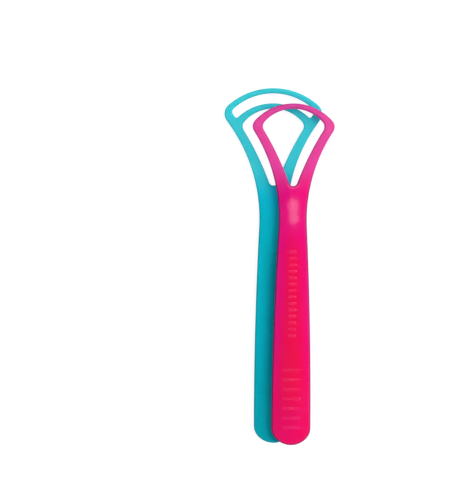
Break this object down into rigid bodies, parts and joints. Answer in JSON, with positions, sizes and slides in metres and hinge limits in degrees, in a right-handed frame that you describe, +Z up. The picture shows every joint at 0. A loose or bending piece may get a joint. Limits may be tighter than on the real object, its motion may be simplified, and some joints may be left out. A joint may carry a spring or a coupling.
{
  "type": "tongue scraper pair",
  "caption": "Flat moulded plastic tongue scrapers lying one on the other, each a paddle handle that forks into arms carrying an arched scraping blade, for cleaning the tongue.",
  "frame": {"origin": "middle of the pair's outline, on the surface that the pair lies on", "axes": "+Y along the handles towards the heads, +X to the right seen from above, +Z up from the surface"},
  "size_m": [0.0532, 0.1728, 0.0071],
  "materials": {
    "teal_plastic": "glossy, slightly translucent moulded plastic",
    "pink_plastic": "glossy, slightly translucent moulded plastic"
  },
  "bodies": {
    "double_blade_scraper": {"double_blade_scraper": "teal_plastic"},
    "single_blade_scraper": {"single_blade_scraper": "pink_plastic"}
  },
  "joints": [
    {"name": "single_blade_lift", "type": "slide", "parent": "double_blade_scraper", "child": "single_blade_scraper", "axis": [0, 0, 1], "range_m": [0, 0.06]}
  ]
}
